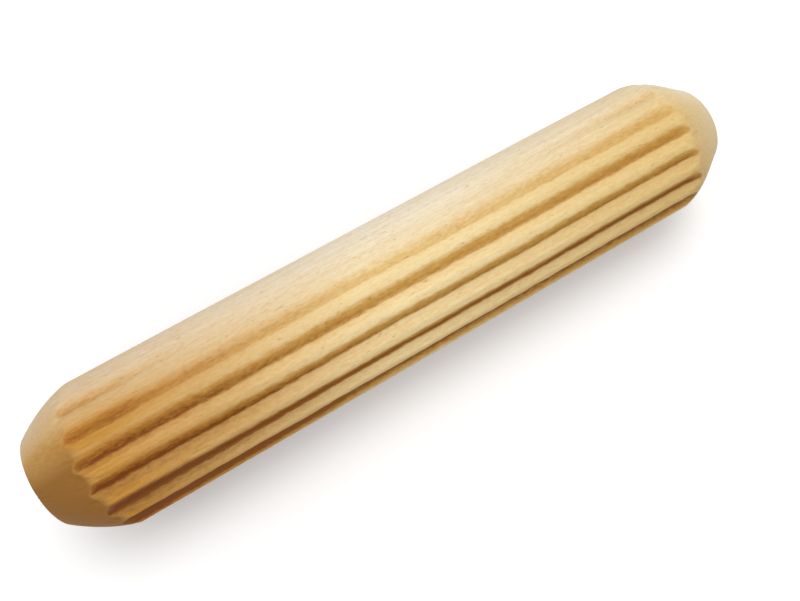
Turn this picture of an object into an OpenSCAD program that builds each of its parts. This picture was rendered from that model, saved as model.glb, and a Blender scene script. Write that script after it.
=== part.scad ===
// Fluted wooden dowel pin, lying on two of its ridges, with its axis along X.
// The origin is on the axis, at half the pin's length. Units are millimetres.

/* [Pin] */
// Overall length, end face to end face
pin_length = 40; // [25:0.5:80]
// Diameter over the ridges
pin_d = 8; // [6:0.1:16]

/* [Left end, at -X] */
// Length of the taper, along the axis
left_taper_length = 3.1; // [1.5:0.1:6]
// Diameter of the flat end face
left_face_d = 4.8; // [2:0.1:5.2]
// How far the taper swells beyond a straight cone
left_taper_crown = 0.22; // [0.05:0.01:0.3]

/* [Right end, at +X] */
// Length of the taper, along the axis
right_taper_length = 3.5; // [1.5:0.1:6]
// Diameter of the flat end face
right_face_d = 4.5; // [2:0.1:5.2]
// How far the taper swells beyond a straight cone
right_taper_crown = 0.31; // [0.05:0.01:0.33]

/* [Flutes] */
// Number of flutes. The pin lies on the two ridges beside the flute underneath.
flute_count = 17; // [8:1:20]
// Mean depth of the flutes below the ridges
flute_depth = 0.30; // [0.24:0.01:0.34]
// How much shallower than the mean the shallowest flute is
flute_depth_change = 0.15; // [0:0.01:0.15]
// Direction of the shallowest flute, from +Y towards +Z
shallow_angle = 50; // [0:10:350]
// Angle between the two flanks of a flute
flank_angle = 90; // [60:1:95]
// Radius at the root of a flute
root_r = 0.1; // [0.05:0.01:0.12]
// Radius that breaks the edge between a flute and a ridge
ridge_edge_r = 0.1; // [0.05:0.01:0.12]

/* [Hidden] */
$fn = 96;

pin_r = pin_d / 2;
flute_pitch_angle = 360 / flute_count;
// Where the first flute is centred, from +Y towards +Z: underneath
first_flute_angle = -90;
// A rounding laps over its neighbour by this much more than tangent, so that the two cross cleanly.
lap = 0.002;
// The rounding of a ridge's edge stands this much above the ridge, for the same reason.
edge_rise = 0.004;
// Cutters reach this far past what they cut.
cut_margin = 1;

// Depth of the flute at an angle round the pin. The roots lie on a circle that is a little off the axis.
function depth_at(angle) = flute_depth - flute_depth_change * cos(angle - shallow_angle);

// How far it is from point p, in the unit direction d, to the circle of radius r about the origin.
function reach(p, d, r) = -(p * d) + sqrt(pow(p * d, 2) - p * p + r * r);

// Outline of one flute, centred on +X.
module flute_section(depth) {
    half_angle = flank_angle / 2;
    along_flank = [cos(half_angle), sin(half_angle)];
    into_ridge = [-sin(half_angle), cos(half_angle)];
    root = [pin_r - depth + root_r, 0];
    flank_start = root + (root_r - lap) * into_ridge;
    edge_path = flank_start + (ridge_edge_r - lap) * into_ridge;
    flank_length = reach(edge_path, along_flank, pin_r - ridge_edge_r + edge_rise);
    flank_end = flank_start + flank_length * along_flank;
    edge_centre = edge_path + flank_length * along_flank;
    mouth = edge_centre * (pin_r + cut_margin) / norm(edge_centre);
    half_outline = [flank_start, flank_end, edge_centre, mouth];

    difference() {
        union() {
            translate(root) circle(root_r);
            polygon([
                for (p = half_outline) p,
                for (i = [len(half_outline) - 1 : -1 : 0]) [half_outline[i].x, -half_outline[i].y]
            ]);
        }
        for (side = [-1, 1])
            translate([edge_centre.x, side * edge_centre.y]) circle(ridge_edge_r);
    }
}

// Section of the fluted length, with the first flute centred on +X.
module fluted_section() {
    difference() {
        circle(pin_r);
        for (i = [0 : flute_count - 1]) {
            angle = i * flute_pitch_angle;
            rotate(angle) flute_section(depth_at(first_flute_angle + angle));
        }
    }
}

// What a taper leaves outside it: a ring about Z, with the pin's end face at height 0 and the pin below.
// It carries on past the end face, and past the other end of the taper for as long as the arc still widens
// there, so that it crosses both cleanly. It starts where the arc is highest, or at the axis if that is
// further out, so that it leaves the end face flat.
module outside_taper(taper_length, face_d, crown) {
    face_r = face_d / 2;
    inset = pin_r - face_r;
    chord = norm([inset, taper_length]);
    arc_r = chord * chord / (8 * crown) + crown / 2;
    outwards = [taper_length, inset] / chord;
    arc_centre = [pin_r + face_r, -taper_length] / 2 - (arc_r - crown) * outwards;
    past_taper = max(0, min(cut_margin, -taper_length - arc_centre.y));
    ring_start = max(0, arc_centre.x);

    rotate_extrude()
        difference() {
            translate([ring_start, -taper_length - past_taper])
                square([pin_r + cut_margin - ring_start, taper_length + past_taper + cut_margin]);
            translate(arc_centre) circle(arc_r);
        }
}

module dowel_pin() {
    color("burlywood")
    rotate([90, 0, 90])
    rotate(first_flute_angle)
    difference() {
        translate([0, 0, -pin_length / 2]) linear_extrude(pin_length) fluted_section();
        translate([0, 0, pin_length / 2])
            outside_taper(right_taper_length, right_face_d, right_taper_crown);
        mirror([0, 0, 1]) translate([0, 0, pin_length / 2])
            outside_taper(left_taper_length, left_face_d, left_taper_crown);
    }
}

dowel_pin();
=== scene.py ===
"""Fluted dowel pin: the turned and pressed beech pin, and the stage it is shown on."""

import math
from functools import partial
from types import SimpleNamespace

import bpy
from bpy.props import FloatProperty, FloatVectorProperty, IntProperty, PointerProperty
from mathutils import Matrix, Vector


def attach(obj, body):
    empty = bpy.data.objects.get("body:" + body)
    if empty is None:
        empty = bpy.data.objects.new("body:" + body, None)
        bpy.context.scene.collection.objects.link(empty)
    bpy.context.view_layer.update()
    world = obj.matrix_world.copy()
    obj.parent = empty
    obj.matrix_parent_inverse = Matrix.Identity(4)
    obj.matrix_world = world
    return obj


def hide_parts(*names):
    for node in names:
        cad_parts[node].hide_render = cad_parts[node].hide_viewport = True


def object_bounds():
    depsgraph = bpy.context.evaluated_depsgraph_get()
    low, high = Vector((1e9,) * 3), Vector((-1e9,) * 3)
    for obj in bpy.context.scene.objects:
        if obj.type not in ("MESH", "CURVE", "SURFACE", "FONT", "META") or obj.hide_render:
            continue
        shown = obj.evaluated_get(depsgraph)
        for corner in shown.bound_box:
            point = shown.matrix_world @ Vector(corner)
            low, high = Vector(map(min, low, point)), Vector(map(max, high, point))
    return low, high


bl_info = {
    "name": "Fluted Dowel Pin",
    "version": (1, 0, 0),
    "blender": (4, 5, 0),
    "location": "View3D > Sidebar > Dowel Pin",
    "description": "Builds a fluted wooden dowel pin and a plain stage for it",
    "category": "Object",
}

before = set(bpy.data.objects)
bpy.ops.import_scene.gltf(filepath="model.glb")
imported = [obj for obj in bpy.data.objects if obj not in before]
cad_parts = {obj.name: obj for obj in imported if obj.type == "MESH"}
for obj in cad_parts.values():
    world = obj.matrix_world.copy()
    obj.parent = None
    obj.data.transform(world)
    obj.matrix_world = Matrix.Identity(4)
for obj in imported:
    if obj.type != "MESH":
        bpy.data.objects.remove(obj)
CAD_LOW, CAD_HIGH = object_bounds()
CAD_SIZE = CAD_HIGH - CAD_LOW
MM = 0.001

# Node kinds used many times.
MATH = "ShaderNodeMath"
VECTOR = "ShaderNodeVectorMath"
NOISE = "ShaderNodeTexNoise"
MAP_RANGE = "ShaderNodeMapRange"
COMBINE = "ShaderNodeCombineXYZ"
SEPARATE = "ShaderNodeSeparateXYZ"
MIX = "ShaderNodeMix"
MAPPING = "ShaderNodeMapping"
# Setting of a range that eases in and out.
SMOOTH = {"interpolation_type": "SMOOTHSTEP"}

QUARTER_TURN = math.radians(90)


def add_node(tree, kind, inputs=(), **settings):
    """Adds a node with its settings. An input is a value, or a node or socket that is linked to it."""
    node = tree.nodes.new(kind)
    for name, value in settings.items():
        setattr(node, name, value)
    for key, value in inputs.items() if isinstance(inputs, dict) else enumerate(inputs):
        if isinstance(value, bpy.types.Node):
            value = value.outputs[0]
        if isinstance(value, bpy.types.NodeSocket):
            tree.links.new(value, node.inputs[key])
        elif value is not None:
            node.inputs[key].default_value = value
    return node


def linear(hex_colour):
    """Turns an sRGB hex colour into the linear colour, with alpha, that a shader takes."""
    channels = [int(hex_colour[i:i + 2], 16) / 255 for i in (1, 3, 5)]
    return tuple(c / 12.92 if c <= 0.04045 else ((c + 0.055) / 1.055) ** 2.4 for c in channels) + (1.0,)


def length_property(name, description, millimetres):
    """A property for a length, in metres, whose default is given in millimetres."""
    return FloatProperty(
        name=name, description=description, default=millimetres * MM, unit="LENGTH", precision=5
    )


def angle_property(name, description, degrees):
    """A property for an angle, whose default is given in degrees."""
    return FloatProperty(name=name, description=description, default=math.radians(degrees), subtype="ANGLE")


def share_property(name, description, share, least=0):
    """A property for a share, up to 1, which shows as a slider."""
    return FloatProperty(
        name=name, description=description, default=share, min=least, max=1, subtype="FACTOR"
    )


class DowelPinShape(bpy.types.PropertyGroup):
    """Sizes of the pin and of the relief that turning and pressing left on it."""

    left_taper_length: length_property("Left Taper Length", "Length of the taper at -X", 3.1)
    left_face_diameter: length_property("Left Face Diameter", "Diameter of the end face at -X", 4.8)
    left_crown: length_property("Left Crown", "How far the left taper swells beyond a cone", 0.21)
    right_taper_length: length_property("Right Taper Length", "Length of the taper at +X", 3.5)
    right_face_diameter: length_property("Right Face Diameter", "Diameter of the end face at +X", 4.6)
    right_crown: length_property("Right Crown", "How far the right taper swells beyond a cone", 0.26)
    left_crown_lean: share_property(
        "Left Crown Lean", "How much of the left swell is near the barrel", 0.0, least=-1
    )
    left_taper_offset: length_property("Left Taper Offset", "How far the left taper is off the axis", 0.12)
    left_offset_direction: angle_property(
        "Left Offset Direction", "Side that the left taper is off to, from +Y to +Z", 37
    )
    right_crown_lean: share_property(
        "Right Crown Lean", "How much of the right swell is near the barrel", 0.7, least=-1
    )
    flute_count: IntProperty(name="Flute Count", description="Flutes round the pin", default=17, min=3)
    flute_depth: length_property("Flute Depth", "Depth of the flutes on the full side", 0.30)
    flute_width: length_property("Flute Width", "Width of a flute between its shoulders", 1.08)
    shallow_direction: angle_property(
        "Shallow Direction", "Side where the press hardly touched, from +Y to +Z", 53
    )
    shallow_share: share_property("Shallow Share", "Share of the depth left on the shallow side", 0.06)
    deep_share: share_property("Deep Share", "Share of the depth that the opposite side adds", 0.35)
    fibre_relief: length_property("Fibre Relief", "Height of the raised fibres", 0.02)
    tear_depth: length_property("Tear Depth", "Depth of the fibres torn from the edges of the flutes", 0.05)
    chip_depth: length_property("Chip Depth", "Depth of the chips where the tapers start", 0.06)
    rows_along: IntProperty(
        name="Rows Along", description="Rows of points along the pin", default=226, min=20
    )
    points_around: IntProperty(
        name="Points Around", description="Points round the pin", default=433, min=37
    )
    seed: FloatProperty(name="Seed", description="Fixed seed of the irregular relief", default=3.0)


def colour_property(name, description, hex_colour):
    """A property for a colour, in linear values, whose default is an sRGB hex colour."""
    return FloatVectorProperty(
        name=name, description=description, default=linear(hex_colour)[:3],
        subtype="COLOR", size=3, min=0, max=1,
    )


def strength_property(name, description, strength):
    """A property for the strength of a light."""
    return FloatProperty(name=name, description=description, default=strength, min=0)


class DowelPinFinish(bpy.types.PropertyGroup):
    """Colours of the wood, with painted sheen and painted shade in some of them."""

    pale: colour_property("Pale Wood", "Early wood on the ridges", "#F3DDA8")
    # Light Wood: partly paler wood, partly a painted sheen on the side turned to the light.
    light: colour_property("Light Wood", "Paler wood of the side that the press hardly touched", "#F9F0DC")
    # Warm Wood: partly warmer wood, partly painted shade, as the left end is darker where the light falls
    # off.
    warm: colour_property("Warm Wood", "Wood towards the left end", "#C28B34")
    golden: colour_property("Golden Wood", "Wood towards the right end", "#DDBC74")
    late: colour_property("Late Wood", "Growth lines and fibres", "#DDBC83")
    # Burnished Wood: partly burnishing, partly painted shade on the flank of each flute that is turned from
    # the light.
    burnished: colour_property("Burnished Wood", "Tint of the pressed flanks of the flutes", "#E9CF95")
    # Root Wood: mostly painted shade in the roots of the flutes, with a little pressing tone, darkest on the
    # low side and towards the left end.
    root: colour_property("Root Wood", "Tint of the roots of the flutes, pressed hardest", "#AE8C43")
    # Cut Taper: partly the tone of the cut, partly painted shade on the lower sides of the tapers, most at
    # the left end.
    cut: colour_property("Cut Taper", "Tapers, cut across the fibres", "#98682B")
    silvery: colour_property("Silvery Taper", "Right taper, turned smooth", "#DDD5BC")
    fleck: colour_property("Ray Flecks", "Short dark rays and pores", "#A9783F")
    end_grain: colour_property("End Grain", "Sawn end faces", "#D9B983")


class DowelStage(bpy.types.PropertyGroup):
    """Floor and light."""

    floor: colour_property("Floor", "Plain floor and backdrop", "#F7F7F7")
    key_power: strength_property("Key Power", "Strength of the overhead light", 0.22)
    front_power: strength_property("Front Power", "Strength of the low front light", 0.19)
    sky: strength_property("Sky", "Strength of the even light of the dome", 0.85)


# ---------------------------------------------------------------- shape of the pin

# Shares of the rows of points for the left face, left taper, barrel, right taper and right face.
ROW_STOPS = (0.0, 0.06, 0.20, 0.80, 0.94, 1.0)
# How far the flutes stray from their places, and how ragged they are, as shares of their pitch.
FLUTE_WANDER = 0.10
FLUTE_RAGGEDNESS = 0.17
# No flute is shallower than this.
LEAST_DEPTH = 0.005 * MM
# How round the root and the shoulders of a flute are, as shares of its half width and of its depth.
ROOT_ROUNDING = 0.08
SHOULDER_ROUNDING = 0.30
# Softening of the edge between the flutes and the tapers.
TAPER_SOFTENING = 0.05 * MM
# How far the rim of an end face falls back, and how deep the saw tore its fibres.
RIM_FALL = 0.08 * MM
SAW_TEAR = 0.03 * MM
# End grain shows where a face looks along X by this much, and is this share of the length from the middle.
END_FACING = 0.93
END_REACH = 0.494
# Points nearer than this are joined, in metres.
SEAM_GAP = 1e-7


def new_pin_tree(shape):
    """An empty tree that takes the pin's sizes, and the value of each of its inputs by identifier."""
    tree = bpy.data.node_groups.new("FlutedPin", "GeometryNodeTree")
    tree.interface.new_socket("Geometry", in_out="OUTPUT", socket_type="NodeSocketGeometry")
    values = {"Length": CAD_SIZE.x, "Radius": CAD_SIZE.y / 2}
    for name in DowelPinShape.__annotations__:
        values[name.replace("_", " ").title()] = getattr(shape, name)
    inputs = {}
    for name, value in values.items():
        kind = "NodeSocketInt" if isinstance(value, int) else "NodeSocketFloat"
        inputs[tree.interface.new_socket(name, in_out="INPUT", socket_type=kind).identifier] = value
    return tree, inputs


def lay_grid(add, size):
    """Lays a grid of one by one, and finds where on the pin each of its points goes.

    The grid's X runs along the profile of the pin and its Y round it.
    """
    grid = add("GeometryNodeMeshGrid", {
        "Size X": 1.0, "Size Y": 1.0, "Vertices X": size["Rows Along"], "Vertices Y": size["Points Around"],
    })
    on_grid = add(SEPARATE, [add("GeometryNodeInputPosition")])
    row = add(MATH, [on_grid.outputs["X"], 0.5], operation="ADD")
    turn = add(MATH, [on_grid.outputs["Y"], 0.5], operation="ADD")
    angle = add(MATH, [turn, math.tau], operation="MULTIPLY")
    left_face, left_taper, barrel, right_taper, right_face = (
        add(MAP_RANGE, {"Value": row, "From Min": start, "From Max": end}, clamp=True)
        for start, end in zip(ROW_STOPS, ROW_STOPS[1:])
    )
    face_right = add(MATH, [1.0, right_face], operation="SUBTRACT")
    face_share = add(MATH, [left_face, face_right], operation="MINIMUM")

    tapers = add(MATH, [size["Left Taper Length"], size["Right Taper Length"]], operation="ADD")
    barrel_length = add(MATH, [size["Length"], tapers], operation="SUBTRACT")
    along = add(MATH, [size["Left Taper Length"], left_taper], operation="MULTIPLY")
    along = add(MATH, [barrel_length, barrel, along], operation="MULTIPLY_ADD")
    along = add(MATH, [size["Right Taper Length"], right_taper, along], operation="MULTIPLY_ADD")
    return grid, SimpleNamespace(
        angle=angle,
        cosine=add(MATH, [angle], operation="COSINE"),
        sine=add(MATH, [angle], operation="SINE"),
        x=add(MATH, [size["Length"], -0.5, along], operation="MULTIPLY_ADD"),
        left_taper=add(MATH, [1.0, left_taper], operation="SUBTRACT"),
        right_taper=right_taper,
        face=add(MATH, [face_share, 0.5], operation="POWER"),
    )


def pin_noise(add, size, at, length, ripples, seed_step=0.0, detail=3.0, roughness=0.5, around=None):
    """Noise that is drawn out to a length along the pin and has some ripples round it."""
    cosine, sine = around or (at.cosine, at.sine)
    return add(NOISE, {
        "Vector": add(COMBINE, [
            add(MATH, [at.x, 1 / length], operation="MULTIPLY"),
            add(MATH, [cosine, ripples], operation="MULTIPLY"),
            add(MATH, [sine, ripples], operation="MULTIPLY"),
        ]),
        "W": add(MATH, [size["Seed"], seed_step], operation="ADD"),
        "Scale": 1.0, "Detail": detail, "Roughness": roughness,
    }, noise_dimensions="4D")


def taper_outline(add, size, at):
    """The radius that the tapers leave: on each a cone, and a parabola that swells it."""
    outline = size["Radius"]
    for end, share in (("Left", at.left_taper), ("Right", at.right_taper)):
        inset = add(MATH, [size[end + " Face Diameter"], -0.5, size["Radius"]], operation="MULTIPLY_ADD")
        rest = add(MATH, [1.0, share], operation="SUBTRACT")
        leaning = add(MATH, [rest, share], operation="SUBTRACT")
        leaning = add(MATH, [leaning, size[end + " Crown Lean"], 1.0], operation="MULTIPLY_ADD")
        swell = add(MATH, [add(MATH, [rest, share], operation="MULTIPLY"), leaning], operation="MULTIPLY")
        crown = add(MATH, [size[end + " Crown"], 4.0], operation="MULTIPLY")
        swell = add(MATH, [swell, crown], operation="MULTIPLY")
        outline = add(MATH, [outline, add(MATH, [inset, share], operation="MULTIPLY")], operation="SUBTRACT")
        outline = add(MATH, [outline, swell], operation="ADD")
    return outline


def find_flute(add, size, at):
    """Finds which flute is nearest, how far off its centre is, and on which side of the pin it lies.

    lean is 1 for a flute on the shallow side and -1 for one opposite. deeper is -lean where that is above 0.
    """
    pitch = add(MATH, [math.tau, size["Flute Count"]], operation="DIVIDE")
    turns = add(MATH, [add(MATH, [at.angle, QUARTER_TURN], operation="ADD"), pitch], operation="DIVIDE")
    wander = pin_noise(add, size, at, 9 * MM, ripples=1.0, detail=1.0)
    ragged = pin_noise(add, size, at, 0.6 * MM, ripples=12.0, seed_step=3.0, roughness=0.65)
    for noise, share in ((wander, FLUTE_WANDER), (ragged, FLUTE_RAGGEDNESS)):
        stray = add(MATH, [noise, 0.5], operation="SUBTRACT")
        turns = add(MATH, [stray, share, turns], operation="MULTIPLY_ADD")
    index = add(MATH, [turns], operation="ROUND")
    offset = add(MATH, [turns, index], operation="SUBTRACT")
    at.centre = add(MATH, [index, pitch], operation="MULTIPLY")
    at.centre = add(MATH, [at.centre, QUARTER_TURN], operation="SUBTRACT")
    from_shallow = add(MATH, [at.centre, size["Shallow Direction"]], operation="SUBTRACT")
    at.lean = add(MATH, [from_shallow], operation="COSINE")
    at.deeper = add(MATH, [add(MATH, [at.lean, -1.0], operation="MULTIPLY"), 0.0], operation="MAXIMUM")
    arc = add(MATH, [pitch, size["Radius"]], operation="MULTIPLY")
    at.off_centre = add(MATH, [offset, arc], operation="MULTIPLY")


def flute_depth(add, size, at):
    """Depth of that flute here: full on one side, and on the other only near the ends."""
    full_side = add(MAP_RANGE, {"Value": at.lean, "From Min": 0.95, "From Max": 0.45}, **SMOOTH)
    left_end, right_end = (
        add(MAP_RANGE, {"Value": at.x, "From Min": start, "From Max": end, "To Max": most}, **SMOOTH)
        for start, end, most in ((-10 * MM, -17 * MM, 0.6), (8 * MM, 17 * MM, 0.35))
    )
    near_press = add(MAP_RANGE, {"Value": at.lean, "From Min": 0.97, "From Max": 0.88})
    ends = add(MATH, [add(MATH, [left_end, right_end], operation="ADD"), near_press], operation="MULTIPLY")
    shallow = add(MIX, [ends, None, size["Shallow Share"], 1.0]).outputs[0]
    share = add(MIX, [full_side, None, shallow, 1.0]).outputs[0]
    share = add(MATH, [at.deeper, size["Deep Share"], share], operation="MULTIPLY_ADD")
    depth = add(MATH, [size["Flute Depth"], share], operation="MULTIPLY")

    # The press was uneven along the pin, mostly on the shallow side.
    uneven = pin_noise(
        add, size, at, 4 * MM, ripples=3.0, roughness=0.6,
        around=[add(MATH, [at.centre], operation=part) for part in ("COSINE", "SINE")],
    )
    swing = add(MAP_RANGE, {"Value": full_side, "To Min": 1.6, "To Max": 0.5})
    uneven = add(MATH, [add(MATH, [uneven, 0.5], operation="SUBTRACT"), swing, 1.0], operation="MULTIPLY_ADD")
    depth = add(MATH, [depth, uneven], operation="MULTIPLY")

    # The flutes run out before the end faces.
    lifted = add(MAP_RANGE, {"Value": at.x, "From Min": 18.0 * MM, "From Max": 16.2 * MM})
    lifted_left = add(MAP_RANGE, {"Value": at.x, "From Min": -18.4 * MM, "From Max": -17.0 * MM})
    depth = add(MATH, [depth, add(MATH, [lifted, lifted_left], operation="MINIMUM")], operation="MULTIPLY")
    return add(MATH, [depth, LEAST_DEPTH], operation="MAXIMUM")


def cut_flute(add, size, at):
    """Section of a flute: a V with a rounded root and shoulders, and one longer flank on the shallow side."""
    # The flutes below widen a little towards the left end.
    leftward = add(MAP_RANGE, {"Value": at.x, "From Min": -6 * MM, "From Max": -16 * MM, "To Max": 0.11})
    wider = add(MAP_RANGE, {"Value": at.lean, "From Min": 0.45, "From Max": 0.0})
    wider = add(MATH, [wider, leftward, 0.5], operation="MULTIPLY_ADD")
    half_width = add(MATH, [size["Flute Width"], wider], operation="MULTIPLY")
    at.signed = add(MATH, [at.off_centre, half_width], operation="DIVIDE")
    skew = add(MAP_RANGE, {"Value": at.lean, "From Min": 0.35, "From Max": 0.65, "To Max": 0.10})
    from_root = add(MATH, [at.signed, skew], operation="SUBTRACT")
    at.across = add(MATH, [
        add(MATH, [from_root, add(MATH, [shoulder, skew], operation="SUBTRACT")], operation="DIVIDE")
        for shoulder in (1.0, -1.0)
    ], operation="MAXIMUM")
    rounded = add(MATH, [at.across, at.across, ROOT_ROUNDING ** 2], operation="MULTIPLY_ADD")
    rounded = add(MATH, [rounded, 0.5], operation="POWER")
    v_shape = add(MATH, [1.0 + ROOT_ROUNDING, rounded], operation="SUBTRACT")
    at.v_shape = add(MATH, [v_shape, 0.0, SHOULDER_ROUNDING], operation="SMOOTH_MAX")
    at.groove = add(MATH, [at.v_shape, flute_depth(add, size, at)], operation="MULTIPLY")
    at.fluted = add(MATH, [size["Radius"], at.groove], operation="SUBTRACT")


def wood_relief(add, size, at):
    """How far the surface is sunk by fibres, by tears at the shoulders of the flutes and by chips."""
    fibre = pin_noise(add, size, at, 5 * MM, ripples=24.0, roughness=0.6)
    relief = add(MATH, [fibre, size["Fibre Relief"]], operation="MULTIPLY")

    torn = pin_noise(add, size, at, 1.3 * MM, ripples=14.0, seed_step=7.0, detail=2.0)
    torn = add(MAP_RANGE, {"Value": torn, "From Min": 0.56, "From Max": 0.70}, **SMOOTH)
    shoulder = add(MAP_RANGE, {"Value": at.across, "From Min": 0.45, "From Max": 0.95}, **SMOOTH)
    beyond = add(MAP_RANGE, {
        "Value": at.across, "From Min": 1.0, "From Max": 1.5, "To Min": 1.0, "To Max": 0.0,
    }, **SMOOTH)
    torn = add(MATH, [torn, add(MATH, [shoulder, beyond], operation="MULTIPLY")], operation="MULTIPLY")
    relief = add(MATH, [torn, size["Tear Depth"], relief], operation="MULTIPLY_ADD")

    # The chips are where the tapers start.
    chips = pin_noise(add, size, at, 0.8 * MM, ripples=7.0, seed_step=13.0, detail=2.0)
    chips = add(MAP_RANGE, {"Value": chips, "From Min": 0.52, "From Max": 0.66}, **SMOOTH)
    edge = add(MAP_RANGE, {"Value": at.tapering, "From Min": 0.6 * MM, "From Max": 0.1 * MM}, **SMOOTH)
    started = add(MATH, [at.left_taper, at.right_taper], operation="MAXIMUM")
    started = add(MATH, [started, 0.0], operation="GREATER_THAN")
    chips = add(MATH, [chips, add(MATH, [edge, started], operation="MULTIPLY")], operation="MULTIPLY")
    return add(MATH, [chips, size["Chip Depth"], relief], operation="MULTIPLY_ADD")


def wrap_points(add, size, at, radius):
    """Where the points of the grid go, as X, Y and Z.

    The rows of the end faces shrink to the axis. Their rim is softened and their fibres are torn by the saw.
    """
    on_face = add(MATH, [radius, at.face], operation="MULTIPLY")
    aside = add(MATH, [size["Left Taper Offset"], at.left_taper], operation="MULTIPLY")
    shift_y, shift_z = (
        add(MATH, [aside, add(MATH, [size["Left Offset Direction"]], operation=part)], operation="MULTIPLY")
        for part in ("COSINE", "SINE")
    )
    y = add(MATH, [on_face, at.cosine, shift_y], operation="MULTIPLY_ADD")
    z = add(MATH, [on_face, at.sine, shift_z], operation="MULTIPLY_ADD")
    rim = add(MAP_RANGE, {"Value": at.face, "From Min": 0.86, "From Max": 1.0}, **SMOOTH)
    near_face = add(MATH, [
        add(MAP_RANGE, {"Value": taper, "From Min": 0.94, "From Max": 1.0}, **SMOOTH)
        for taper in (at.left_taper, at.right_taper)
    ], operation="MAXIMUM")
    rim = add(MATH, [rim, near_face], operation="MULTIPLY")
    sawn = add(NOISE, {
        "Vector": add(COMBINE, [at.x, y, z]), "W": size["Seed"], "Scale": 1 / (0.35 * MM), "Detail": 3.0,
    }, noise_dimensions="4D")
    inset = add(MATH, [sawn, SAW_TEAR], operation="MULTIPLY")
    inset = add(MATH, [rim, RIM_FALL, inset], operation="MULTIPLY_ADD")
    inset = add(MATH, [inset, near_face], operation="MULTIPLY")
    inset = add(MATH, [inset, add(MATH, [at.x], operation="SIGN")], operation="MULTIPLY")
    return add(MATH, [at.x, inset], operation="SUBTRACT"), y, z


def finish_masks(add, size, at):
    """Masks that the finish reads: how deep in a flute, weighted to paint shade on the low side, on its flank
    with burnishing and painted shade, and how far on a taper.
    """
    # Painted shade: the flutes are tinted darker towards the low side, away from the light, and darker again
    # where they are deeper.
    pressed_and_shaded = add(MAP_RANGE, {"Value": at.lean, "From Min": 0.45, "From Max": -0.35, "To Min": 0.55})
    pressed_and_shaded = add(MATH, [at.deeper, 0.8, pressed_and_shaded], operation="MULTIPLY_ADD")
    # 1 where a flute is still left, and 0 where a taper has cut it off.
    left_over = add(MATH, [at.outline, at.fluted], operation="SUBTRACT")
    left_over = add(MAP_RANGE, {"Value": left_over, "From Min": -0.03 * MM, "From Max": 0.03 * MM})
    flute_mask = add(MATH, [at.groove, size["Flute Depth"]], operation="DIVIDE")
    flute_mask = add(MATH, [flute_mask, pressed_and_shaded], operation="MULTIPLY")
    flute_mask = add(MATH, [flute_mask, left_over], operation="MULTIPLY")

    # The flank with burnishing and painted shade ends near the root. Its edge moves up the other flank on the
    # shallow side, and a little on the low side, and the deepest flutes, low on the pin, get painted shade on
    # both flanks.
    shallow_edge = add(MAP_RANGE, {
        "Value": at.lean, "From Min": 0.1, "From Max": 0.65, "To Min": -0.03, "To Max": 0.48,
    })
    low_edge = add(MAP_RANGE, {"Value": at.lean, "From Min": 0.0, "From Max": -0.36, "To Max": 0.22})
    flank_edge = add(MATH, [shallow_edge, low_edge], operation="ADD")
    flank_share = add(MAP_RANGE, {
        "Value": at.lean, "From Min": 0.35, "From Max": 0.65, "To Min": 1.0, "To Max": 0.60,
    })
    flank_mask = add(MATH, [at.signed, flank_edge], operation="SUBTRACT")
    flank_mask = add(MAP_RANGE, {
        "Value": flank_mask, "From Min": 0.10, "From Max": -0.10, "To Max": flank_share,
    })
    # Painted shade on both flanks of the lowest flutes.
    shaded_both_flanks = add(MAP_RANGE, {"Value": at.lean, "From Min": -0.38, "From Max": -0.60, "To Max": 0.8})
    flank_mask = add(MATH, [flank_mask, shaded_both_flanks], operation="MAXIMUM")

    # A taper's tint leaves out the flutes that still run on in it.
    taper_mask = add(MAP_RANGE, {"Value": at.tapering, "From Min": 0.01 * MM, "From Max": 0.12 * MM})
    below = add(MATH, [1.0, add(MATH, [left_over, at.v_shape], operation="MULTIPLY")], operation="SUBTRACT")
    taper_mask = add(MATH, [taper_mask, below], operation="MULTIPLY")
    return {"flute": flute_mask, "flank": flank_mask, "taper": taper_mask}


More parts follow.
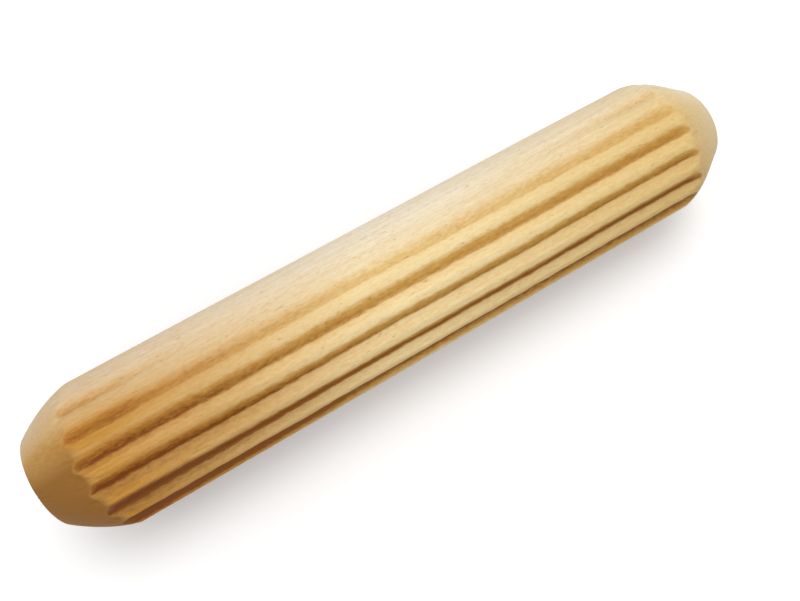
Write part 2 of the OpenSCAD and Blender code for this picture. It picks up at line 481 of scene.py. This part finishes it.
def pin_tree(shape, long_grain, end_grain):
    """The tree that makes the pin, and its inputs by identifier.

    A grid is wrapped round X, and its radius follows the tapers and the flutes.
    """
    tree, inputs = new_pin_tree(shape)
    add = partial(add_node, tree)
    size = tree.nodes.new("NodeGroupInput").outputs
    grid, at = lay_grid(add, size)
    at.outline = taper_outline(add, size, at)
    at.tapering = add(MATH, [size["Radius"], at.outline], operation="SUBTRACT")
    find_flute(add, size, at)
    cut_flute(add, size, at)
    radius = add(MATH, [at.fluted, at.outline, TAPER_SOFTENING], operation="SMOOTH_MIN")
    radius = add(MATH, [radius, wood_relief(add, size, at)], operation="SUBTRACT")

    # The masks are stored while the grid is flat, because they are worked out from its places.
    masked = grid
    for name, value in finish_masks(add, size, at).items():
        masked = add("GeometryNodeStoreNamedAttribute", {"Geometry": masked, "Name": name, "Value": value},
                     data_type="FLOAT", domain="POINT")
    wrapped = add("GeometryNodeSetPosition", {
        "Geometry": masked, "Position": add(COMBINE, wrap_points(add, size, at, radius)),
    })

    # The seam and both poles are closed, and the faces are turned outward.
    closed = add("GeometryNodeMergeByDistance", {"Geometry": wrapped, "Distance": SEAM_GAP})
    closed = add("GeometryNodeFlipFaces", [closed])
    smooth = add("GeometryNodeSetShadeSmooth", {"Geometry": closed, "Shade Smooth": True})
    whole = add("GeometryNodeRealizeInstances", [smooth])
    turned = add("GeometryNodeSetMaterial", {"Geometry": whole, "Material": long_grain})
    normal = add(SEPARATE, [add("GeometryNodeInputNormal")])
    place = add(SEPARATE, [add("GeometryNodeInputPosition")])
    reach = add(MATH, [size["Length"], END_REACH], operation="MULTIPLY")
    facing, at_end = (
        add(MATH, [add(MATH, [vector.outputs["X"]], operation="ABSOLUTE"), least], operation="GREATER_THAN")
        for vector, least in ((normal, END_FACING), (place, reach))
    )
    sawn_face = add(MATH, [facing, at_end], operation="MULTIPLY")
    ended = add("GeometryNodeSetMaterial", {
        "Geometry": turned, "Selection": sawn_face, "Material": end_grain,
    })
    add("NodeGroupOutput", [ended])
    return tree, inputs


# ---------------------------------------------------------------- finish

# Side of the palest wood and of the painted sheen, the side turned to the light, from +Y to +Z.
PALE_AND_SHEEN_SIDE = math.radians(43)
# How the growth rings are turned in the rod.
RING_TURN = (0.5, 0.012, 0.02)


def emptied(owner):
    """Empties the node tree of a material or a world, and returns what adds a node to it."""
    owner.use_nodes = True
    owner.node_tree.nodes.clear()
    return partial(add_node, owner.node_tree)


def millimetre_places(add):
    """Places on the pin, in millimetres."""
    return add(MAPPING, {
        "Vector": add("ShaderNodeTexCoord").outputs["Object"], "Scale": (1 / MM, 1 / MM, 1 / MM),
    })


def growth_rings(add, place):
    """Growth rings, about 1.4 mm apart, which lie nearly flat in the rod."""
    return add("ShaderNodeTexWave", {
        "Vector": add(MAPPING, {"Vector": place, "Rotation": RING_TURN, "Scale": (0.25, 1, 1)}),
        "Scale": 0.22, "Distortion": 2.5, "Detail": 2.0, "Detail Scale": 0.35,
    }, wave_type="BANDS", bands_direction="Z")


def tinted(add, colour, layers):
    """Lays tints over a colour one after the other, each by its own share."""
    for share, tint, blend in layers:
        colour = add(MIX, {0: share, 6: colour, 7: (*tint, 1)}, data_type="RGBA", blend_type=blend).outputs[2]
    return colour


def wood_zones(add, place, along, taper):
    """Which side of the pin it is, and the shares of the light, the warm and the golden wood, all cloudy.

    The wood is palest on the side turned to the light, where a painted sheen lies over paler wood. It is warm
    towards the left end, partly warmer wood and partly painted shade where the light falls off, and golden
    towards the right one.
    """
    cloudy = add(NOISE, {
        "Vector": add(MAPPING, {"Vector": place, "Scale": (0.08, 0.3, 0.3)}), "Scale": 1.0, "Detail": 2.0,
    })
    around = add(VECTOR, [add(VECTOR, [place, (0, 1, 1)], operation="MULTIPLY")], operation="NORMALIZE")
    side = add(VECTOR, [around, (0, math.cos(PALE_AND_SHEEN_SIDE), math.sin(PALE_AND_SHEEN_SIDE))], operation="DOT_PRODUCT")
    side = add(MATH, [
        side.outputs["Value"], 4.0, add(MATH, [cloudy, 1.5], operation="MULTIPLY"),
    ], operation="MULTIPLY_ADD")
    # Share of the paler wood and its painted sheen, on the side turned to the light.
    pale_and_sheen_share = add(MAP_RANGE, {"Value": side, "From Min": 2.4, "From Max": 4.7}, **SMOOTH)

    # Partly warmer wood, partly painted shade where the light falls off towards the left end.
    warmth_and_shade = add(MAP_RANGE, {
        "Value": along, "From Min": -16.0, "From Max": -1.0, "To Min": 1.0, "To Max": 0.0,
    })
    clouds = add(MATH, [add(MATH, [cloudy, 0.5], operation="SUBTRACT"), 0.5], operation="MULTIPLY")
    warmth_and_shade = add(MATH, [warmth_and_shade, clouds], operation="ADD", use_clamp=True)
    kept_warm = add(MAP_RANGE, {"Value": pale_and_sheen_share, "From Min": 0.25, "To Min": 1.0, "To Max": 0.45})
    warmth_and_shade = add(MATH, [warmth_and_shade, kept_warm], operation="MULTIPLY")
    off_taper = add(MATH, [taper, -0.1, 1.0], operation="MULTIPLY_ADD")
    warmth_and_shade = add(MATH, [warmth_and_shade, off_taper], operation="MULTIPLY")

    golden_share = add(MAP_RANGE, {"Value": along, "From Min": 2.0, "From Max": 16.0, "To Max": 0.75})
    kept_golden = add(MAP_RANGE, {"Value": pale_and_sheen_share, "To Min": 1.0, "To Max": 0.35})
    golden_share = add(MATH, [golden_share, kept_golden], operation="MULTIPLY")
    return side, pale_and_sheen_share, warmth_and_shade, golden_share


def flute_tones(add, flute, flank, warmth_and_shade):
    """The shares of the golden burnishing and of the dark root that a warm wheel rolled into the flutes, both
    partly painted shade.

    One flank, the one turned from the light, gets more than the other, least so where the wood is warm; that
    difference is painted shade.
    """
    other_flank = add(MAP_RANGE, {"Value": warmth_and_shade, "To Min": 0.08, "To Max": 0.35})
    one_flank = add(MAP_RANGE, {"Value": flank, "To Min": other_flank})
    burnish_and_shade = add(MAP_RANGE, {"Value": flute, "From Min": 0.03, "From Max": 0.25})
    burnish_and_shade = add(MATH, [burnish_and_shade, one_flank], operation="MULTIPLY")
    # More painted shade in the roots where the wood is warm, towards the left end.
    warm_root_shade = add(MAP_RANGE, {"Value": warmth_and_shade, "To Min": 0.7, "To Max": 1.8})
    root = add(MAP_RANGE, {"Value": flute, "From Min": 0.20, "From Max": 0.85}, clamp=False)
    root = add(MATH, [root, warm_root_shade], operation="MULTIPLY")
    root = add(MATH, [root, one_flank], operation="MULTIPLY", use_clamp=True)
    return burnish_and_shade, root


def taper_tones(add, side, along, taper):
    """The shares of the brown cut, mostly at the left end and below, where it is partly the tone of the cut
    and partly painted shade, and of the silvery right taper.
    """
    # Painted shade: browner on the side away from the light.
    low = add(MAP_RANGE, {"Value": side, "From Min": 3.6, "From Max": 1.7, "To Min": 0.1})
    leftward = add(MAP_RANGE, {"Value": along, "From Min": 16.0, "From Max": -16.0, "To Min": 0.25})
    cut = add(MATH, [taper, add(MATH, [low, leftward], operation="MULTIPLY")], operation="MULTIPLY")
    silvery = add(MAP_RANGE, {"Value": along, "From Min": 16.8, "From Max": 19.5, "To Max": 0.45})
    return cut, silvery


def turned_beech(finish):
    """Bare beech turned along the grain: pale, silky, finely streaked and golden in the rolled flutes, with
    painted sheen on the side turned to the light and painted shade in the flutes, towards the left end and on
    the tapers below.
    """
    material = bpy.data.materials.new("TurnedBeech")
    add = emptied(material)
    place = millimetre_places(add)
    flute, flank, taper = (
        add("ShaderNodeAttribute", attribute_name=name).outputs["Fac"] for name in ("flute", "flank", "taper")
    )
    along = add(SEPARATE, [place]).outputs["X"]

    # Fibres are drawn 0.15 mm wide and 8 mm long. Real ones are ten times finer, too fine to show.
    fibre = add(NOISE, {
        "Vector": add(MAPPING, {"Vector": place, "Scale": (0.12, 6.5, 6.5)}),
        "Scale": 1.0, "Detail": 4.0, "Roughness": 0.62,
    })
    fibre_share = add(MAP_RANGE, {"Value": fibre, "From Min": 0.45, "From Max": 0.75, "To Max": 0.45})
    growth_share = add(MATH, [growth_rings(add, place), 0.22], operation="MULTIPLY")
    # Ray flecks and pores: short dark lines, 0.5 mm long and about 0.1 mm wide.
    flecks = add(NOISE, {
        "Vector": add(MAPPING, {"Vector": place, "Scale": (2.2, 9.0, 9.0)}),
        "Scale": 1.0, "Detail": 1.0,
    })
    flecks = add(MAP_RANGE, {"Value": flecks, "From Min": 0.68, "From Max": 0.82}, **SMOOTH)
    fleck_share = add(MATH, [flecks, 0.55], operation="MULTIPLY")
    # Torn fibre ends leave a fine mottle, 0.1 mm wide and 0.4 mm long.
    mottle = add(NOISE, {
        "Vector": add(MAPPING, {"Vector": place, "Scale": (2.6, 8.0, 8.0)}),
        "Scale": 1.0, "Detail": 3.0, "Roughness": 0.7,
    })
    mottle_share = add(MAP_RANGE, {"Value": mottle, "From Min": 0.42, "From Max": 0.72, "To Max": 0.32})

    # The mottle also breaks up the edges of the burnishing and the painted shade in the flutes.
    ragged = add(MATH, [add(MATH, [mottle, 0.5], operation="SUBTRACT"), 1.4, 1.0], operation="MULTIPLY_ADD")
    flute = add(MATH, [flute, ragged], operation="MULTIPLY")

    side, pale_and_sheen_share, warmth_and_shade, golden_share = wood_zones(add, place, along, taper)
    burnish_and_shade, root = flute_tones(add, flute, flank, warmth_and_shade)
    cut, silvery = taper_tones(add, side, along, taper)
    colour = tinted(add, (*finish.pale, 1), (
        # Painted sheen over paler wood, on the side turned to the light.
        (pale_and_sheen_share, finish.light, "MIX"),
        # Partly warmer wood, partly painted shade towards the left end.
        (warmth_and_shade, finish.warm, "MIX"),
        (golden_share, finish.golden, "MIX"),
        (growth_share, finish.late, "MIX"),
        (fibre_share, finish.late, "MIX"),
        (mottle_share, finish.late, "MULTIPLY"),
        (fleck_share, finish.fleck, "MIX"),
        # Partly burnishing, partly painted shade on the flank turned from the light.
        (burnish_and_shade, finish.burnished, "MULTIPLY"),
        # Mostly painted shade in the roots of the flutes.
        (root, finish.root, "MULTIPLY"),
        # Partly the tone of the cut, partly painted shade on the tapers below.
        (cut, finish.cut, "MIX"),
        (silvery, finish.silvery, "MIX"),
    ))
    roughness = add(MAP_RANGE, {"Value": flute, "To Min": 0.62, "To Max": 0.48})
    height = add(MATH, [fibre, 0.6], operation="MULTIPLY")
    height = add(MATH, [flecks, -0.4, height], operation="MULTIPLY_ADD")
    height = add(MATH, [mottle, 0.8, height], operation="MULTIPLY_ADD")
    bump = add("ShaderNodeBump", {"Height": height, "Strength": 0.6, "Distance": 0.03 * MM})
    surface = add("ShaderNodeBsdfPrincipled", {
        "Base Color": colour, "Roughness": roughness, "Normal": bump, "IOR": 1.5, "Specular IOR Level": 0.2,
    })
    add("ShaderNodeOutputMaterial", {"Surface": surface})
    return material


def sawn_end_grain(finish):
    """Beech sawn across the grain: darker and matt, with growth rings, pale rays and open pores."""
    material = bpy.data.materials.new("SawnBeechEndGrain")
    add = emptied(material)
    place = millimetre_places(add)
    rings = add(MATH, [growth_rings(add, place), 2.0], operation="POWER")
    rays = add(NOISE, {
        "Vector": add(MAPPING, {"Vector": place, "Rotation": RING_TURN, "Scale": (1.0, 8.0, 0.9)}),
        "Scale": 1.0, "Detail": 2.0,
    })
    rays = add(MAP_RANGE, {"Value": rays, "From Min": 0.50, "From Max": 0.66, "To Max": 0.45})
    pores = add("ShaderNodeTexVoronoi", {"Vector": place, "Scale": 7.0})
    pores = add(MAP_RANGE, {"Value": pores, "From Min": 0.12, "From Max": 0.3, "To Min": 1.0, "To Max": 0.0})
    colour = tinted(add, (*finish.end_grain, 1), (
        (add(MATH, [rings, 0.45], operation="MULTIPLY"), finish.fleck, "MIX"),
        (rays, finish.pale, "MIX"),
        (add(MATH, [pores, 0.45], operation="MULTIPLY"), finish.fleck, "MIX"),
    ))
    bump = add("ShaderNodeBump", {"Height": pores, "Strength": 0.5, "Distance": 0.03 * MM}, invert=True)
    surface = add("ShaderNodeBsdfPrincipled", {
        "Base Color": colour, "Roughness": 0.8, "Normal": bump, "IOR": 1.5, "Specular IOR Level": 0.25,
    })
    add("ShaderNodeOutputMaterial", {"Surface": surface})
    return material


class BuildDowelPin(bpy.types.Operator):
    """Builds the fluted pin from its node tree and puts it in place of the plain CAD pin"""

    bl_idname = "dowel.build_pin"
    bl_label = "Build Dowel Pin"

    def execute(self, context):
        shape, finish = context.scene.dowel_shape, context.scene.dowel_finish
        tree, inputs = pin_tree(shape, turned_beech(finish), sawn_end_grain(finish))
        blank = bpy.data.objects.new("pin_blank", bpy.data.meshes.new("pin_blank"))
        context.scene.collection.objects.link(blank)
        modifier = blank.modifiers.new("FlutedPin", "NODES")
        modifier.node_group = tree
        for identifier, value in inputs.items():
            modifier[identifier] = value
        evaluated = blank.evaluated_get(context.evaluated_depsgraph_get())
        mesh = bpy.data.meshes.new_from_object(evaluated)
        bpy.data.objects.remove(blank)
        if not mesh.polygons:
            raise RuntimeError("the pin's tree made no faces")
        if mesh.materials[0] is None:
            mesh.materials.pop(index=0)
        mesh.name = "fluted_dowel"
        pin = bpy.data.objects.new("fluted_dowel", mesh)
        context.scene.collection.objects.link(pin)
        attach(pin, "root")
        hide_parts("dowel_pin")
        return {"FINISHED"}


# ---------------------------------------------------------------- stage

# The camera looks down at the pin from its front left.
CAMERA_PLACE = Vector((-6.294, -18.075, 31.056)) * MM
CAMERA_RIGHT = Vector((0.8603, -0.4972, -0.1126))
CAMERA_UP = Vector((0.4820, 0.7215, 0.4971))
CAMERA_BACK = Vector((-0.1659, -0.4819, 0.8604))
CAMERA_LENS = 30.15
CAMERA_SENSOR = 36
CAMERA_NEAR = 1 * MM
CAMERA_FAR = 10

FLOOR_HALF = 1.5
# Colour of the light that the floor throws back on the pin, and the glow that keeps the floor white.
FLOOR_BOUNCE = (0.30, 0.24, 0.17, 1)
FLOOR_GLOW = 0.16
# How high on the dome its light is full.
DOME_FULL = 0.45

LAMP_WIDTH = 0.40
KEY_PLACE = Vector((0.160, 0.069, 0.576))
FRONT_PLACE = Vector((0.15, -0.47, 0.33))


def seen_directly(add):
    """1 for what the camera sees, straight or by gloss or through glass, and 0 for the light that spreads."""
    path = add("ShaderNodeLightPath").outputs
    seen = add(MATH, [path["Is Camera Ray"], path["Is Glossy Ray"]], operation="MAXIMUM")
    return add(MATH, [seen, path["Is Transmission Ray"]], operation="MAXIMUM")


def matt_white_floor(stage):
    """Matt white board: plain and white to the eye, but what it throws back on the pin is dim and warm."""
    material = bpy.data.materials.new("MattWhiteFloor")
    add = emptied(material)
    white = add("ShaderNodeAddShader", [
        add("ShaderNodeBsdfDiffuse", {"Color": (*stage.floor, 1)}),
        add("ShaderNodeEmission", {"Color": (1, 1, 1, 1), "Strength": FLOOR_GLOW}),
    ])
    dim = add("ShaderNodeBsdfDiffuse", {"Color": FLOOR_BOUNCE})
    surface = add("ShaderNodeMixShader", [seen_directly(add), dim, white])
    add("ShaderNodeOutputMaterial", {"Surface": surface})
    return material


def lay_floor(scene, stage):
    """A plain square floor, as high as the lowest point of the pin."""
    mesh = bpy.data.meshes.new("floor")
    corners = [
        (x * FLOOR_HALF, y * FLOOR_HALF, CAD_LOW.z) for x, y in ((-1, -1), (1, -1), (1, 1), (-1, 1))
    ]
    mesh.from_pydata(corners, [], [(0, 1, 2, 3)])
    mesh.materials.append(matt_white_floor(stage))
    floor = bpy.data.objects.new("floor", mesh)
    scene.collection.objects.link(floor)


def light_dome(scene, stage):
    """An even white sky, which gives less light near the horizon but looks white all over."""
    world = bpy.data.worlds.new("EvenSky")
    scene.world = world
    add = emptied(world)
    upward = add(SEPARATE, [add("ShaderNodeTexCoord").outputs["Generated"]]).outputs["Z"]
    dome = add(MAP_RANGE, {"Value": upward, "From Max": DOME_FULL, "To Max": stage.sky})
    strength = add(MATH, [dome, seen_directly(add)], operation="MAXIMUM")
    sky = add("ShaderNodeBackground", {"Color": (1, 1, 1, 1), "Strength": strength})
    add("ShaderNodeOutputWorld", [sky])


def hang_lamps(scene, stage):
    """A round lamp overhead and a round lamp low in front, both turned to the pin."""
    for name, place, power in (
        ("key", KEY_PLACE, stage.key_power),
        ("front", FRONT_PLACE, stage.front_power),
    ):
        lamp = bpy.data.lights.new(name, "AREA")
        lamp.shape = "DISK"
        lamp.size = LAMP_WIDTH
        lamp.energy = power * (math.pi * place.length) ** 2
        holder = bpy.data.objects.new(name, lamp)
        holder.location = place
        holder.rotation_mode = "QUATERNION"
        holder.rotation_quaternion = place.to_track_quat("Z", "Y")
        scene.collection.objects.link(holder)


def place_camera(scene):
    """The camera, close to the pin and with its whole length in view."""
    lens = bpy.data.cameras.new("camera")
    lens.sensor_width = CAMERA_SENSOR
    lens.lens = CAMERA_LENS
    lens.clip_start = CAMERA_NEAR
    lens.clip_end = CAMERA_FAR
    camera = bpy.data.objects.new("camera", lens)
    turned = Matrix((CAMERA_RIGHT, CAMERA_UP, CAMERA_BACK)).transposed().to_4x4()
    camera.matrix_world = Matrix.Translation(CAMERA_PLACE) @ turned
    scene.collection.objects.link(camera)
    scene.camera = camera


class BuildStage(bpy.types.Operator):
    """Lays the floor, hangs the lamps and sets up the camera"""

    bl_idname = "dowel.build_stage"
    bl_label = "Build Stage"

    def execute(self, context):
        scene, stage = context.scene, context.scene.dowel_stage
        lay_floor(scene, stage)
        light_dome(scene, stage)
        hang_lamps(scene, stage)
        place_camera(scene)
        scene.view_settings.view_transform = "Standard"
        return {"FINISHED"}


class DowelPinPanel(bpy.types.Panel):
    """Lists the steps that build the pin and its stage"""

    bl_idname = "VIEW3D_PT_dowel_pin"
    bl_label = "Dowel Pin"
    bl_space_type = "VIEW_3D"
    bl_region_type = "UI"
    bl_category = "Dowel Pin"

    def draw(self, context):
        layout, scene = self.layout, context.scene
        for heading, group, operator in (
            ("Shape", scene.dowel_shape, None),
            ("Finish", scene.dowel_finish, BuildDowelPin),
            ("Stage", scene.dowel_stage, BuildStage),
        ):
            box = layout.box()
            box.label(text=heading)
            for name in group.__annotations__:
                box.prop(group, name)
            if operator:
                box.operator(operator.bl_idname)


PROPERTY_GROUPS = {
    "dowel_shape": DowelPinShape,
    "dowel_finish": DowelPinFinish,
    "dowel_stage": DowelStage,
}
CLASSES = (*PROPERTY_GROUPS.values(), BuildDowelPin, BuildStage, DowelPinPanel)


def register():
    for cls in CLASSES:
        bpy.utils.register_class(cls)
    for name, group in PROPERTY_GROUPS.items():
        setattr(bpy.types.Scene, name, PointerProperty(type=group))


def unregister():
    for name in PROPERTY_GROUPS:
        delattr(bpy.types.Scene, name)
    for cls in reversed(CLASSES):
        bpy.utils.unregister_class(cls)


def main():
    register()
    bpy.ops.dowel.build_pin()
    bpy.ops.dowel.build_stage()


if __name__ == "__main__":
    main()
